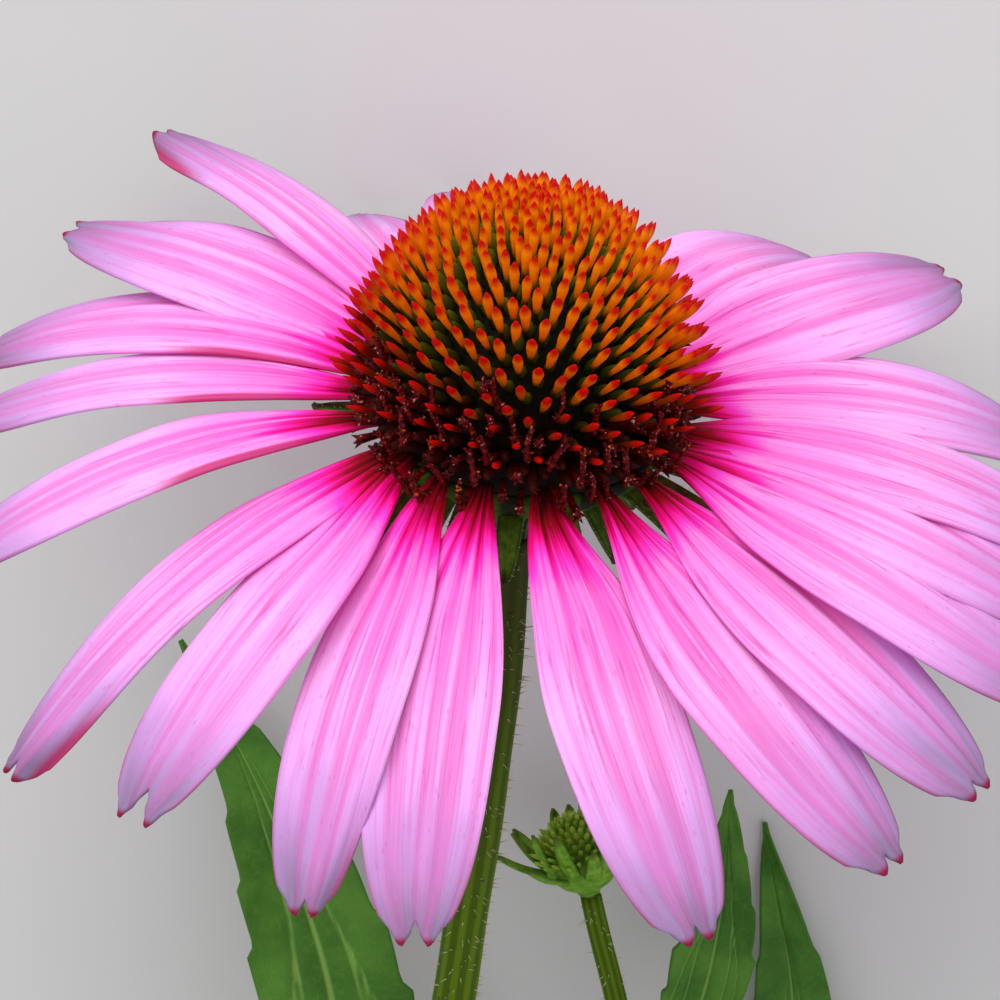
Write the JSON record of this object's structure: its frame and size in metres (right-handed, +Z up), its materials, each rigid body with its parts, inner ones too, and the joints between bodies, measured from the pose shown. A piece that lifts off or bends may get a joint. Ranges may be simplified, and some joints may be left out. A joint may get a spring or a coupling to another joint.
{
  "type": "purple coneflower plant",
  "caption": "Cut flowering stem of a purple coneflower lying on a surface: a raised spiny cone ringed by drooping pink ray florets, with leaves and a side bud.",
  "frame": {"origin": "centre of the bounding box on the surface that the stem lies on", "axes": "+Z up from the surface; +Y along the lying stem from the bloom to its cut end; the bloom faces -Y"},
  "size_m": [0.1171, 0.235, 0.0888],
  "materials": {
    "petal": "soft satin living petal, magenta at the root to pale lilac pink at the tip",
    "cone": "stiff glossy scales, orange with red points, dark maroon low on the cone",
    "bract": "matte green bracts with dark tips",
    "stem": "matte ribbed green stem with short bristly hairs",
    "leaf": "matte veined green leaf, rough to the touch"
  },
  "bodies": {
    "root": {"ray_florets": "petal", "disc_cone": "cone", "involucre": "bract", "stem": "stem", "leaf_1": "leaf", "leaf_2": "leaf", "leaf_3": "leaf", "side_shoot": "stem", "shoot_leaf": "leaf", "bud": "bract"}
  },
  "joints": []
}
